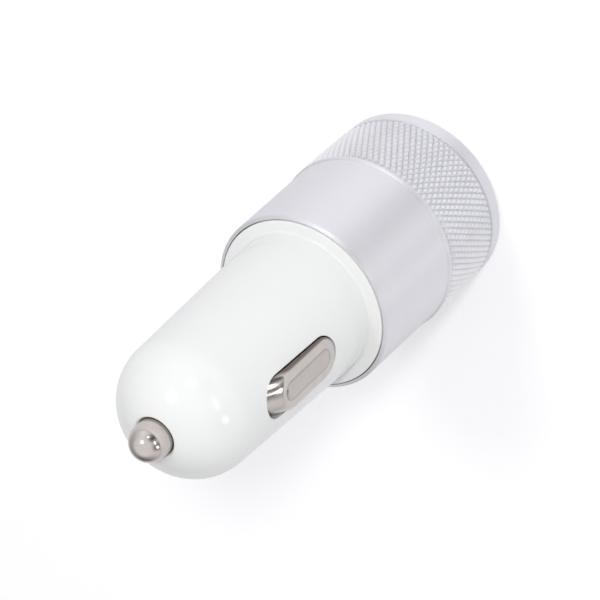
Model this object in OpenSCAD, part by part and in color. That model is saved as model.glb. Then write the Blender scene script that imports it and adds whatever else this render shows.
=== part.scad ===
// Car USB charger plug: a white tapered plug with a domed nose, a sprung centre contact and two
// sprung side contacts, carried in a satin aluminium head with a knurled band and two USB ports.
// Millimetres. +Z runs from the USB end to the nose, and the origin is on the axis at the USB end,
// on which the part stands.

/* [Plug housing] */
// Diameter of the barrel at its root, which fits a vehicle's 12 V socket
barrel_d = 20.8; // [20.2:0.1:21]
// Diameter of the barrel where its dome starts
nose_d = 19.0; // [18.4:0.1:19.6]
// Length from the flange's face to the start of the dome
taper_len = 26.5; // [25:0.5:30]
// Length of the straight stretch at the barrel's root
land_len = 3; // [2:0.5:4]
// Fillet between the flange and the barrel
root_fillet = 0.35; // [0.2:0.05:0.6]
// Radius of the ball-shaped top of the dome
dome_r = 10.5; // [10.2:0.1:11.5]
// Height of the dome's full curve above its start
dome_h = 8.1; // [7.6:0.1:8.8]
// Wall thickness of the barrel and the dome
barrel_wall = 1.6; // [1.3:0.1:1.8]
// Depth of plastic over the collar of the centre contact, to the nose's flat
nose_floor = 2.1; // [1.6:0.1:2.6]
// Width of the flange round the barrel's root
flange_w = 1.75; // [1.4:0.05:2]
// Thickness of the flange
flange_t = 1.8; // [1.4:0.1:2.4]
// How far the flange stands out of the shell's rim
flange_proud = 0.2; // [0:0.05:0.4]
// Gap between the flange's edge and the shell's rim
flange_gap = 0.15; // [0.1:0.05:0.2]
// Wall thickness of the core inside the shell
core_wall = 1.1; // [0.9:0.1:1.4]

/* [Head shell] */
// Length of the aluminium shell, from the USB end to the rim round the flange
shell_len = 30.6; // [28:0.1:34]
// Wall thickness of the rim round the flange
rim_wall = 0.5; // [0.4:0.05:0.8]
// Bevel on the outer edge of the rim
rim_bevel = 0.3; // [0.1:0.05:0.4]
// How much the smooth band widens from the rim to the knurl, on the radius
band_flare = 0.2; // [0.1:0.05:0.4]
// How far the knurl stands out of the smooth band
knurl_h = 0.3; // [0.2:0.05:0.4]
// Length of the knurled band
knurl_len = 12; // [8:0.5:14]
// Number of the knurl's diamonds round the head
knurl_count = 90; // [60:2:120]
// Number of rows of points along the knurl, two to a diamond
knurl_rows = 14; // [8:2:18]
// Depth of the knurl's grooves
knurl_depth = 0.36; // [0.2:0.02:0.45]
// Length of the plain ring between the knurl and the smooth band
start_ring_len = 0.35; // [0.2:0.05:0.6]
// Length of the plain ring at the USB end
end_ring_len = 2.4; // [1.4:0.1:3]
// Step from the knurl's crests down to the plain ring at the USB end
end_ring_step = 0.15; // [0.1:0.05:0.3]
// Rounding of the outer edge at the USB end
end_round = 0.6; // [0.3:0.1:1]
// Width of the step inside the rim that the flange sits on
flange_seat = 0.4; // [0.3:0.05:0.6]
// Width of the lip at the USB end
lip_w = 0.75; // [0.5:0.05:1]
// Thickness of that lip
lip_t = 0.9; // [0.7:0.1:1.4]

/* [Contacts] */
// Diameter of the centre contact
pin_d = 5.2; // [4.4:0.1:5.6]
// How far the centre contact stands out of the nose
pin_out = 3.7; // [2.8:0.1:4.5]
// Width of the collar round the centre contact
collar_w = 1.4; // [1.2:0.1:1.8]
// Thickness of that collar
collar_t = 1.2; // [0.8:0.1:1.6]
// Travel of the centre contact
pin_travel = 2.5; // [1.5:0.1:3]
// Radial clearance of the centre contact in the nose
pin_gap = 0.13; // [0.08:0.01:0.2]
// Wire of the centre contact's spring
wire_d = 0.5; // [0.4:0.05:0.6]
// Turns of that spring
spring_turns = 6; // [5:1:8]
// Length of that spring in its place
spring_len = 8.6; // [7:0.2:10]
// Width of the slots for the side contacts
slot_w = 6.0; // [5.6:0.1:6.4]
// Length of those slots
slot_len = 15.4; // [14:0.1:16.5]
// Distance from the flange's face to the nearer end of those slots
slot_from_flange = 8.0; // [7.5:0.1:9.5]
// Gap between a side contact and the sides of its slot
slot_gap = 0.15; // [0.12:0.01:0.25]
// Gap between a side contact and its slot at the nose end
slot_end_gap = 0.45; // [0.3:0.05:0.6]
// Thickness of the side contacts' strip
strip_t = 0.4; // [0.3:0.05:0.5]
// How far the side contacts' highest point stands out of the barrel
contact_out = 0.9; // [0.6:0.05:1.2]
// Width of the flat ridge on a side contact
ridge_w = 2.0; // [1.4:0.1:2.6]

/* [USB ports] */
// Width of a port's metal shell
port_w = 13.1; // [12.9:0.1:13.4]
// Height of a port's metal shell
port_h = 5.7; // [5.5:0.1:5.9]
// Length of a port's metal shell
port_len = 14; // [13:0.5:15]
// Sheet thickness of a port's shell
port_t = 0.3; // [0.25:0.05:0.35]
// Depth of the ports' mouths behind the shell's end
port_inset = 1.0; // [0.6:0.1:1.4]
// Gap between a port's shell and its opening in the face plate
port_gap = 0.15; // [0.1:0.05:0.25]
// Room between each side of a port's shell and its tongue
tongue_side = 0.7; // [0.5:0.05:0.9]
// Thickness of a port's tongue
tongue_t = 1.84; // [1.7:0.02:2]
// Depth of the face plate below the shell's end
face_inset = 0.3; // [0.2:0.05:0.4]
// Depth of the face plate's plug inside the core
plate_depth = 2.3; // [1.8:0.1:3]

/* [Circuit board] */
// Thickness of the board
board_t = 1.2; // [1:0.1:1.6]
// Room between the board's edges and the core
board_gap = 0.9; // [0.6:0.1:1.4]
// Diameter of the inductor's drum
inductor_d = 8.4; // [7:0.1:9]
// Height of the inductor's drum
inductor_h = 5.6; // [4:0.1:6]
// Diameter of the input capacitor's can
input_can_d = 6.3; // [5:0.1:6.3]
// Height of the input capacitor's can
input_can_h = 7; // [5:0.1:7.5]
// Diameter of the output capacitor's can
output_can_d = 5; // [4:0.1:6.3]
// Height of the output capacitor's can
output_can_h = 6; // [5:0.1:7]

/* [Hidden] */

$fn = 96;
eps = 0.01;

// Colours
white_plastic = [0.93, 0.94, 0.93];
satin_aluminium = [0.77, 0.77, 0.80];
nickel = [0.72, 0.69, 0.66];
board_green = [0.10, 0.36, 0.20];
black_plastic = [0.09, 0.09, 0.10];
gold = [0.85, 0.68, 0.33];
copper = [0.72, 0.43, 0.24];

// Stations along the axis
rim_z = shell_len;
face_z = rim_z + flange_proud;
flange_z = face_z - flange_t;
dome_z = face_z + taper_len;
slot_z0 = face_z + slot_from_flange;
slot_z1 = slot_z0 + slot_len;
knurl_z0 = end_ring_len;
knurl_z1 = knurl_z0 + knurl_len;

// Radii, from the barrel out to the head
barrel_r = barrel_d / 2;
nose_r = nose_d / 2;
flange_r = barrel_r + flange_w;
mouth_r = flange_r + flange_gap;
rim_r = mouth_r + rim_wall;
band_r = rim_r + band_flare;
knurl_r = band_r + knurl_h;
ring_r = knurl_r - end_ring_step;
start_ring_r = band_r + 3 / 4 * knurl_h;
groove_r = knurl_r - knurl_depth;
knurl_bed_r = groove_r - 0.06;
knurl_inner_r = groove_r - 0.3;
knurl_lap = 0.1;
shell_bore_r = flange_r - flange_seat;
lip_r = shell_bore_r - lip_w;
core_gap = 0.05;
core_r = shell_bore_r - core_gap;
core_bore_r = core_r - core_wall;

// Barrel and dome. The shoulder's arc is tangent to the taper and to the ball of the dome
taper_z0 = face_z + land_len;
taper_angle = atan((barrel_r - nose_r) / (dome_z - taper_z0));
ball_z = dome_z + dome_h - dome_r;
ball_drop = dome_z - ball_z;
shoulder_r = (dome_r * dome_r - nose_r * nose_r - ball_drop * ball_drop)
  / (2 * (dome_r - nose_r * cos(taper_angle) - ball_drop * sin(taper_angle)));
shoulder_at = [nose_r - shoulder_r * cos(taper_angle), dome_z - shoulder_r * sin(taper_angle)];
ball_dir = (shoulder_at - [0, ball_z]) / norm(shoulder_at - [0, ball_z]);
shoulder_proud = 0.006;

// Nose: a small flat round the centre contact's hole
hole_r = pin_d / 2 + pin_gap;
hole_lead = 0.2;
nose_flat_r = hole_r + 1.5 * hole_lead;
flange_round = 0.2;
nose_z = ball_z + sqrt(dome_r * dome_r - nose_flat_r * nose_flat_r);
seat_z = nose_z - nose_floor;
pin_tip_z = nose_z + pin_out;

// Centre contact, spring and its seat on the board
stop_gap = 0.05;
collar_r = pin_d / 2 + collar_w;
collar_z1 = seat_z - stop_gap;
collar_z0 = collar_z1 - collar_t;
guide_gap = 0.1;
guide_r = collar_r + guide_gap;
guide_wall = 1.2;
guide_len = collar_t + pin_travel + guide_r * 2 / 3;
spring_r = pin_d / 2 + 0.4 * wire_d;
spring_play = 0.15;
spigot_r = spring_r - wire_d - spring_play;
spigot_len = spigot_r * 3 / 4;
spring_z0 = collar_z0 - stop_gap - spring_len;
cup_t = 0.4;
cup_r = spring_r + spring_play + 1.4 * cup_t;
cup_lip = 0.9;
cup_z = spring_z0 - stop_gap - cup_t;
board_z1 = cup_z;
clip_len = 4;
clip_w = 3;

// Side contacts
strip_w = slot_w - 2 * slot_gap;
contact_z0 = slot_z0 + 0.8 * slot_gap;
contact_z1 = slot_z1 - slot_end_gap;
ridge_z0 = contact_z0 + 1.8;
ridge_z1 = contact_z1 - 3.2;
ridge_low_out = 0.12;
edge_in = [0.15, 1.1];
flank = [[0, 0], [0.01, 0.16], [0.05, 0.27], [0.12, 0.36], [0.5, 0.68], [0.84, 0.94], [0.94, 0.99], [1, 1]];
bump_arc = 10;
bump_side = 6;
seat_play = 0.25;
leaf_x = sqrt(pow(barrel_inner_r(slot_z1 + 1), 2) - strip_w * strip_w / 4) - seat_play;
leaf_tip = 1.6;
leaf_w = strip_w * 3 / 4;
root_gap = 0.2;
root_room = 1.45;
root_x = barrel_inner_r(face_z) - root_room;
root_z = face_z + slot_from_flange / 2;
root_h = 2.4;
prong_len = 1.8;
prong_gap = 0.03;

// USB ports
port_z0 = port_inset;
port_z1 = port_z0 + port_len;
port_y = board_t / 2 + port_h / 2;
port_round = 2 * port_t;
leg_w = 2.2;
leg_short = 0.1;
front_leg_z = port_z0 + 5;
back_leg_z = port_z0 + 10;
tongue_w = port_w - 2 * port_t - 2 * tongue_side;
tongue_from_roof = 0.7;
tongue_low_y = board_t / 2 + port_h - port_t - tongue_from_roof - tongue_t;
tongue_z0 = port_z0 + 1.9;
block_z0 = port_z1 - 3.6;
block_play = 0.05;
pin_row = [for (x = [-3.5, -1, 1, 3.5]) x * tongue_w / 11.1];
pin_w = tongue_w / 11;
pin_t = 0.25;
pin_play = 0.02;
pin_foot = 1.2;
finger_w = 2.2;
finger_len = 5;
finger_gap = 0.4;
finger_tilt = 3;
finger_z = port_z0 + 2 + finger_len;

// Board, and the rails that hold it
board_w = 2 * (core_bore_r - board_gap);
neck_w = 2 * (root_x - root_gap);
press_room = 2.5;
tail_w = 2 * (leaf_x - strip_t - press_room);
board_z0 = face_inset + plate_depth + 0.2;
board_shoulder_z = flange_z - 1.2;
neck_z1 = root_z + root_h / 2 + 0.1;
rail_t = 1.2;
rail_gap = 0.15;
rail_x0 = board_w / 2 - 1;
rail_x1 = core_bore_r + core_wall / 3;
parts_z = port_z1 + 2.2;
neck_parts_z = root_z - 1.5;
can_wall = 0.35;
coil_layer = 1.3;
coil_wire_r = 0.3;
drum_flange = 1;
drum_r = inductor_d / 2;
drum_waist = drum_r / 2;

function barrel_outer_r(z) =
  z < taper_z0 ? barrel_r : barrel_r - (z - taper_z0) * tan(taper_angle);
function barrel_inner_r(z) = barrel_outer_r(z) - barrel_wall / cos(taper_angle);

// A flat outline with two round ends, from a to b along Y
module capsule(r, a, b) {
  translate([-r, a + r])
    square([2 * r, b - a - 2 * r]);
  for (y = [a + r, b - r])
    translate([0, y])
      circle(r);
}

// A rectangle with round corners, centred
module round_rect(w, h, r) {
  square([w - 2 * r, h], center = true);
  square([w, h - 2 * r], center = true);
  for (sx = [-1, 1], sy = [-1, 1])
    translate([sx * (w / 2 - r), sy * (h / 2 - r)])
      circle(r, $fn = 32);
}

// Half section of the barrel and dome, with its surface moved in by inset. The shoulder's arc
// stands out by shoulder_proud, so that it crosses the taper and the ball cleanly
module barrel_section(inset) {
  taper_end = [nose_r, dome_z] - inset * [cos(taper_angle), sin(taper_angle)];
  polygon([
    [0, flange_z],
    [barrel_r - inset, flange_z],
    [barrel_r - inset, taper_z0 - inset * tan(taper_angle / 2)],
    taper_end,
    [0, taper_end[1]]
  ]);
  intersection() {
    translate(shoulder_at)
      circle(shoulder_r - inset + shoulder_proud);
    translate([0, dome_z - barrel_wall])
      square([barrel_r, barrel_r]);
  }
  intersection() {
    translate([0, ball_z])
      circle(dome_r - inset);
    translate([0, dome_z - barrel_wall])
      square([ball_dir[0] * (dome_r - inset), barrel_r]);
  }
}

// Half section of the aluminium shell
module shell_section() {
  lip_bevel = lip_t / 3;
  difference() {
    union() {
      polygon([
        [lip_r, end_round],
        [ring_r, end_round],
        [ring_r, knurl_z0],
        [knurl_bed_r, knurl_z0],
        [knurl_bed_r, knurl_z1 - start_ring_len],
        [start_ring_r, knurl_z1 - start_ring_len],
        [start_ring_r, knurl_z1],
        [band_r, knurl_z1 + start_ring_r - band_r],
        [rim_r, rim_z - rim_bevel],
        [rim_r - rim_bevel, rim_z],
        [lip_r, rim_z]
      ]);
      translate([lip_r, 0])
        square([ring_r - end_round - lip_r, 2 * end_round]);
      translate([ring_r - end_round, end_round])
        circle(end_round);
    }
    // Bore behind the lip
    translate([0, lip_t])
      square([shell_bore_r, shell_len]);
    // Recess for the flange
    translate([0, flange_z])
      square([mouth_r, shell_len]);
    // Bevel inside the lip
    polygon([[lip_r - eps, -eps], [lip_r + lip_bevel, -eps], [lip_r - eps, lip_bevel]]);
  }
}

// Points round the knurl at row i. Crests and groove crossings take turns, and the two end
// rows lie at the grooves' depth inside the plain rings
function knurl_row(i, low, high) =
  let (columns = 2 * knurl_count)
  [
    for (j = [0:columns - 1])
      let (
        crest = i > 0 && i < knurl_rows && (i + j) % 2 == 0,
        r = crest ? knurl_r : groove_r,
        a = 360 * j / columns
      )
      [r * cos(a), r * sin(a), low + (high - low) * i / knurl_rows]
  ];

// Sleeve with crossed grooves: four-sided points with a groove crossing at each corner. Each
// cell between four points is split along its groove
module knurl_sleeve(low, high) {
  columns = 2 * knurl_count;
  inside = (knurl_rows + 1) * columns;
  rows = [for (i = [0:knurl_rows]) each knurl_row(i, low, high)];
  bore = [
    for (z = [low, high], j = [0:columns - 1])
      [knurl_inner_r * cos(360 * j / columns), knurl_inner_r * sin(360 * j / columns), z]
  ];
  cells = [
    for (i = [0:knurl_rows - 1], j = [0:columns - 1])
      let (
        a = i * columns + j,
        b = i * columns + (j + 1) % columns,
        c = b + columns,
        d = a + columns
      )
      each (i + j) % 2 == 0 ? [[a, d, b], [c, b, d]] : [[a, c, b], [a, d, c]]
  ];
  ends_and_bore = [
    for (j = [0:columns - 1])
      let (
        k = (j + 1) % columns,
        top = knurl_rows * columns,
        bore_top = inside + columns
      )
      each [
        [j, k, inside + k, inside + j],
        [top + k, top + j, bore_top + j, bore_top + k],
        [inside + j, inside + k, bore_top + k, bore_top + j]
      ]
  ];
  polyhedron(concat(rows, bore), concat(cells, ends_and_bore));
}

module head_shell() {
  color(satin_aluminium) {
    rotate_extrude()
      shell_section();
    knurl_sleeve(knurl_z0 - knurl_lap, knurl_z1 - start_ring_len + knurl_lap);
  }
}

// Window in the barrel for one side contact, on the +X side
module slot_cut() {
  translate([barrel_r / 2, 0, 0])
    rotate([90, 0, 90])
      linear_extrude(barrel_r)
        capsule(slot_w / 2, slot_z0, slot_z1);
}

module plug_housing() {
  color(white_plastic) {
    difference() {
      union() {
        rotate_extrude()
          difference() {
            union() {
              barrel_section(0);
              // Flange with a softened front edge
              translate([0, flange_z])
                square([flange_r, flange_t - flange_round]);
              translate([0, face_z - 2 * flange_round])
                square([flange_r - flange_round, 2 * flange_round]);
              translate([flange_r - flange_round, face_z - flange_round])
                circle(flange_round, $fn = 32);
              // Fillet at the barrel's root
              difference() {
                translate([barrel_r - eps, face_z - eps])
                  square(root_fillet + eps);
                translate([barrel_r + root_fillet, face_z + root_fillet])
                  circle(root_fillet, $fn = 32);
              }
              // Core inside the shell
              translate([0, lip_t])
                square([core_r, flange_z - lip_t + eps]);
            }
            // Flat on the nose
            translate([0, nose_z])
              square([barrel_r, dome_r]);
            // Hollow of the core, up to the underside of the flange
            translate([0, -eps])
              square([core_bore_r, flange_z + flange_round]);
            // Hollow of the barrel and dome, round the guide tube
            difference() {
              barrel_section(barrel_wall);
              translate([0, seat_z - guide_len])
                square([guide_r + guide_wall, guide_len + nose_floor]);
            }
            // Guide for the centre contact's collar, and its hole with a softened edge
            translate([0, seat_z - guide_len - 1])
              square([guide_r, guide_len + 1]);
            square([hole_r, 2 * pin_tip_z]);
            polygon([
              [0, nose_z - hole_lead],
              [hole_r, nose_z - hole_lead],
              [hole_r + hole_lead, nose_z + eps],
              [0, nose_z + eps]
            ]);
          }
        // Rails that hold the board's edges
        for (sx = [-1, 1], sy = [-1, 1])
          translate([
            sx * (rail_x0 + rail_x1) / 2,
            sy * (board_t / 2 + rail_gap + rail_t / 2),
            (port_z1 + board_shoulder_z) / 2
          ])
            cube([rail_x1 - rail_x0, rail_t, board_shoulder_z - port_z1], center = true);
      }
      for (a = [0, 180])
        rotate([0, 0, a])
          slot_cut();
    }
  }
}

module face_plate() {
  plate_gap = 0.1;
  plate_r = lip_r - plate_gap;
  plug_r = core_bore_r - plate_gap;
  color(white_plastic)
    difference() {
      union() {
        translate([0, 0, face_inset])
          cylinder(r = plate_r, h = lip_t - face_inset);
        translate([0, 0, face_inset])
          cylinder(r = plug_r, h = plate_depth);
      }
      for (side = [-1, 1])
        translate([0, side * port_y, 0])
          linear_extrude(2 * plate_depth)
            round_rect(port_w + 2 * port_gap, port_h + 2 * port_gap, port_round);
    }
}

module centre_contact() {
  end_r = pin_d / 2;
  color(nickel)
    rotate_extrude()
      difference() {
        union() {
          translate([0, collar_z0])
            square([end_r, pin_tip_z - end_r - collar_z0]);
          translate([0, pin_tip_z - end_r])
            intersection() {
              circle(end_r);
              square(end_r);
            }
          translate([0, collar_z0])
            square([collar_r, collar_t]);
          translate([0, collar_z0 - spigot_len])
            square([spigot_r, spigot_len + eps]);
        }
        // Bevel on the spigot's end
        polygon([
          [spigot_r * 0.8, collar_z0 - spigot_len - eps],
          [spigot_r + eps, collar_z0 - spigot_len - eps],
          [spigot_r + eps, collar_z0 - spigot_len * 0.8]
        ]);
      }
}

// A closed solid through a list of rings, which have the same number of points
module loft(rings) {
  n = len(rings[0]);
  walls = [
    for (i = [0:len(rings) - 2], k = [0:n - 1])
      let (a = i * n + k, b = i * n + (k + 1) % n)
      [a, a + n, b + n, b]
  ];
  first = [for (k = [0:n - 1]) k];
  last = [for (k = [n - 1:-1:0]) (len(rings) - 1) * n + k];
  polyhedron([for (ring = rings) each ring], concat([first], walls, [last]), convexity = 10);
}

// A round wire along a list of points
module wire(points, r, sides) {
  n = len(points);
  loft([
    for (i = [0:n - 1])
      let (
        ahead = points[min(i + 1, n - 1)] - points[max(i - 1, 0)],
        dir = ahead / norm(ahead),
        side = cross([0, 0, 1], dir),
        u = side / norm(side),
        v = cross(dir, u)
      )
      [for (k = [0:sides - 1]) points[i] + r * (cos(360 * k / sides) * u + sin(360 * k / sides) * v)]
  ]);
}

module contact_spring() {
  coil_r = spring_r - wire_d / 2;
  steps = 20 * spring_turns;
  // The end turns lie closer together than the ones between
  function rise(t) = wire_d / 2 + (spring_len - wire_d) * (t - 0.6 * sin(360 * t) / (2 * PI));
  color(nickel)
    translate([0, 0, spring_z0])
      wire(
        [
          for (i = [0:steps])
            let (t = i / steps, a = 360 * spring_turns * t)
            [coil_r * cos(a), coil_r * sin(a), rise(t)]
        ],
        wire_d / 2,
        8
      );
}

module spring_seat() {
  color(nickel) {
    translate([0, 0, cup_z])
      difference() {
        cylinder(r = cup_r, h = cup_t + cup_lip);
        translate([0, 0, cup_t])
          cylinder(r = cup_r - cup_t, h = cup_lip + eps);
      }
    for (side = [-1, 1])
      translate([-clip_w / 2, side * (board_t + cup_t) / 2 - cup_t / 2, cup_z - clip_len])
        cube([clip_w, cup_t, clip_len + eps]);
  }
}

// Points of an outline with two round ends, seen along X, from the middle of its high end. Its
// height changes evenly from from[0] at z = from[1] to to[0] at z = to[1]
function bump_ring(half_w, low, high, from, to) =
  let (
    turn_z = [high - half_w, low + half_w],
    plan = [
      for (end = [0, 1])
        each concat(
          [
            for (k = [0:bump_arc])
              let (a = 180 * (end + k / bump_arc))
              [half_w * cos(a), turn_z[end] + half_w * sin(a)]
          ],
          [
            for (m = [1:bump_side - 1])
              [(2 * end - 1) * half_w, turn_z[end] + (turn_z[1 - end] - turn_z[end]) * m / bump_side]
          ]
        )
    ]
  )
  [
    for (i = [0:len(plan) - 1])
      let (p = plan[(i + bump_arc / 2) % len(plan)])
      [from[0] + (to[0] - from[0]) * (p[1] - from[1]) / (to[1] - from[1]), p[0], p[1]]
  ];

// Outer form of a side contact's pressed bump, moved in by inset, on the +X side. It rises
// straight through the slot, then slopes in to a flat ridge that is highest near the nose
module bump_form(inset) {
  side = strip_w / 2 - inset;
  low = contact_z0 + inset;
  high = contact_z1 - inset;
  edge_low = [barrel_outer_r(low) - edge_in[0] - inset, low];
  edge_high = [barrel_outer_r(high) - edge_in[1] - inset, high];
  ridge_low = [barrel_outer_r(ridge_z0) + ridge_low_out - inset, ridge_z0];
  ridge_high = [barrel_outer_r(ridge_z1) + contact_out - inset, ridge_z1];
  base = leaf_x - (inset > 0 ? 3 * strip_t : 0);
  loft(concat(
    [bump_ring(side, low, high, [base, 0], [base, 1])],
    [
      for (f = flank)
        bump_ring(
          side + (ridge_w / 2 - side) * f[0],
          low + (ridge_z0 - low) * f[0],
          high + (ridge_z1 - high) * f[0],
          [
            edge_low[0] + (ridge_low[0] - edge_low[0]) * f[1],
            edge_low[1] + (ridge_low[1] - edge_low[1]) * f[0]
          ],
          [
            edge_high[0] + (ridge_high[0] - edge_high[0]) * f[1],
            edge_high[1] + (ridge_high[1] - edge_high[1]) * f[0]
          ]
        )
    ]
  ));
}

// Side contact on the +X side: a leaf of strip with a pressed bump that stands out of its slot
module side_contact() {
  color(nickel) {
    difference() {
      bump_form(0);
      bump_form(strip_t);
    }
    // Rim of the strip round the bump
    difference() {
      translate([leaf_x - strip_t, 0, 0])
        rotate([90, 0, 90])
          linear_extrude(strip_t + eps)
            capsule(strip_w / 2, contact_z0 - leaf_tip, contact_z1 + leaf_tip);
      bump_form(strip_t);
    }
    // Leaf from the bump down to the root at the board's edge
    translate([0, leaf_w / 2, 0])
      rotate([90, 0, 0])
        linear_extrude(leaf_w)
          polygon([
            [leaf_x - strip_t, contact_z0],
            [leaf_x, contact_z0],
            [leaf_x, contact_z0 - leaf_tip / 2],
            [root_x + strip_t, root_z + root_h / 2],
            [root_x + strip_t, root_z - root_h / 2],
            [root_x, root_z - root_h / 2],
            [root_x, root_z + root_h / 2],
            [leaf_x - strip_t, contact_z0 - leaf_tip / 2]
          ]);
    // Prongs that clip over the board's edge
    for (side = [-1, 1])
      translate([root_x - prong_len, side * (board_t / 2 + prong_gap + strip_t / 2) - strip_t / 2, root_z - root_h / 2])
        cube([prong_len + strip_t, strip_t, root_h]);
  }
}

module side_contact_right() {
  side_contact();
}

module side_contact_left() {
  rotate([0, 0, 180])
    side_contact();
}

// Everything on a port is drawn for the front one, on the +Y side of the board
module on_back() {
  rotate([0, 0, 180])
    children();
}

// Metal shell of a port, with spring fingers and the legs that pass through the board
module usb_shell(leg_z) {
  color(nickel) {
    difference() {
      translate([0, port_y, port_z0])
        linear_extrude(port_len)
          difference() {
            round_rect(port_w, port_h, port_round);
            round_rect(port_w - 2 * port_t, port_h - 2 * port_t, port_round - port_t);
          }
      // Windows round the spring fingers
      for (sx = [-1, 1], y = [board_t / 2, board_t / 2 + port_h])
        translate([sx * port_w / 4, y, finger_z - finger_len / 2])
          cube([finger_w + 2 * finger_gap, 6 * port_t, finger_len], center = true);
    }
    // Fingers, bent in at their free ends
    for (sx = [-1, 1], side = [-1, 1])
      translate([sx * port_w / 4, port_y + side * (port_h - port_t) / 2, finger_z])
        rotate([-side * finger_tilt, 0, 0])
          translate([0, 0, (port_t - finger_len + finger_gap) / 2])
            cube([finger_w, port_t, finger_len - finger_gap + port_t], center = true);
    // Legs in the board's slots
    for (sx = [-1, 1])
      translate([sx * (port_w - port_t) / 2 - port_t / 2, leg_short - board_t / 2, leg_z - leg_w / 2])
        cube([port_t, board_t + port_round, leg_w]);
  }
}

module usb_shell_front() {
  usb_shell(front_leg_z);
}

module usb_shell_back() {
  on_back()
    usb_shell(back_leg_z);
}

module usb_core() {
  inner_w = port_w - 2 * port_t - 2 * block_play;
  inner_h = port_h - 2 * port_t - 2 * block_play;
  color(white_plastic)
    difference() {
      union() {
        translate([0, port_y, block_z0])
          linear_extrude(port_z1 - block_z0)
            round_rect(inner_w, inner_h, port_round - port_t);
        translate([-tongue_w / 2, tongue_low_y, tongue_z0])
          cube([tongue_w, tongue_t, block_z0 - tongue_z0 + eps]);
      }
      // Ways for the pins through the block
      for (x = pin_row)
        translate([x - pin_w / 2 - pin_play, tongue_low_y - pin_t - pin_play, block_z0 - 1])
          cube([pin_w + 2 * pin_play, pin_t + 2 * pin_play, port_len]);
    }
}

module usb_core_front() {
  usb_core();
}

module usb_core_back() {
  on_back()
    usb_core();
}

module usb_pins() {
  color(gold)
    for (x = pin_row)
      translate([x - pin_w / 2, 0, 0]) {
        translate([0, tongue_low_y - pin_t, tongue_z0 + 0.8])
          cube([pin_w, pin_t, port_z1 + 2 * pin_t - tongue_z0 - 0.8]);
        // Tail behind the block, down to a foot on the board
        translate([0, board_t / 2, port_z1 + pin_t])
          cube([pin_w, tongue_low_y - board_t / 2, pin_t]);
        translate([0, board_t / 2, port_z1 + pin_t])
          cube([pin_w, pin_t, pin_foot]);
      }
}

module usb_pins_front() {
  usb_pins();
}

module usb_pins_back() {
  on_back()
    usb_pins();
}

module main_board() {
  color(board_green)
    translate([0, board_t / 2, 0])
      rotate([90, 0, 0])
        linear_extrude(board_t)
          difference() {
            polygon([
              [-board_w / 2, board_z0],
              [board_w / 2, board_z0],
              [board_w / 2, board_shoulder_z],
              [neck_w / 2, board_shoulder_z],
              [neck_w / 2, neck_z1],
              [tail_w / 2, neck_z1],
              [tail_w / 2, board_z1],
              [-tail_w / 2, board_z1],
              [-tail_w / 2, neck_z1],
              [-neck_w / 2, neck_z1],
              [-neck_w / 2, board_shoulder_z],
              [-board_w / 2, board_shoulder_z]
            ]);
            // Slots for the legs of the ports' shells
            for (sx = [-1, 1], z = [front_leg_z, back_leg_z])
              translate([sx * (port_w - port_t) / 2, z])
                square([2 * port_t, leg_w + port_t], center = true);
          }
}

// Drum core with its axis across the board
module inductor_core() {
  color([0.22, 0.22, 0.23])
    translate([0, board_t / 2, parts_z + drum_r])
      rotate([-90, 0, 0])
        rotate_extrude()
          difference() {
            square([drum_r, inductor_h]);
            translate([drum_waist, drum_flange])
              square([drum_r, inductor_h - 2 * drum_flange]);
          }
}

// Copper wire on the drum, with its outer turns as ridges
module inductor_coil() {
  room = inductor_h - 2 * drum_flange;
  turns = round(room / (2 * coil_wire_r)) - 1;
  first = coil_wire_r + pin_play;
  color(copper)
    translate([0, board_t / 2 + drum_flange, parts_z + drum_r])
      rotate([-90, 0, 0])
        rotate_extrude() {
          translate([drum_waist, pin_play])
            square([coil_layer, room - 2 * pin_play]);
          for (i = [0:turns - 1])
            translate([drum_waist + coil_layer, first + i * (room - 2 * first) / (turns - 1)])
              circle(coil_wire_r, $fn = 24);
        }
}

// Can capacitor with its axis across the board, on the back face
module can_capacitor(d, h) {
  color([0.80, 0.80, 0.82])
    rotate([90, 0, 0])
      rotate_extrude()
        difference() {
          square([d / 2, h]);
          // Groove over the seal
          translate([d / 2 - can_wall, h / 5])
            square([d, h / 12]);
          // Round top edge
          translate([d / 2 - can_wall, h - can_wall])
            difference() {
              square(2 * can_wall);
              circle(can_wall, $fn = 32);
            }
        }
}

module input_capacitor() {
  translate([-input_can_d / 2 - 0.8, -board_t / 2, parts_z + input_can_d / 2 + 0.4])
    can_capacitor(input_can_d, input_can_h);
}

module output_capacitor() {
  translate([output_can_d / 2 + 0.8, -board_t / 2, parts_z + output_can_d / 2 + 0.4])
    can_capacitor(output_can_d, output_can_h);
}

// Chip body with legs along two sides. It lies on the face given by side, centred on x and z
module leaded_chip(x, z, w, l, h, legs, side) {
  span = l / (legs + 1);
  translate([x, side * board_t / 2, z])
    rotate([side > 0 ? -90 : 90, 0, 0]) {
      color(black_plastic)
        translate([-w / 2, -l / 2, 0.1])
          cube([w, l, h]);
      color(nickel)
        for (sx = [-1, 1], i = [1:legs])
          translate([sx * (w / 2 + 0.45), -l / 2 + i * span, 0.3])
            cube([0.94, 0.4, 0.6], center = true);
    }
}

module converter_chip() {
  leaded_chip(0, neck_parts_z, 3.9, 4.9, 1.4, 4, 1);
}

module port_chip() {
  leaded_chip(drum_r + 2.4, parts_z + 3.4, 1.6, 2.9, 1, 3, 1);
}

module rectifier_diode() {
  color(black_plastic)
    translate([0, -board_t / 2 - 1.1, neck_parts_z])
      cube([2.6, 2.2, 4.3], center = true);
}

module chip_fuse() {
  color([0.88, 0.87, 0.80])
    translate([0, board_t / 2 + 0.4, cup_z - clip_len - 3])
      cube([1.6, 0.8, 3.2], center = true);
}

// Small ceramic pieces on the board: x, z and the face that each lies on
module chips(places, size) {
  for (p = places)
    translate([p[0], p[2] * (board_t / 2 + size[1] / 2), p[1]])
      cube(size, center = true);
}

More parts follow.
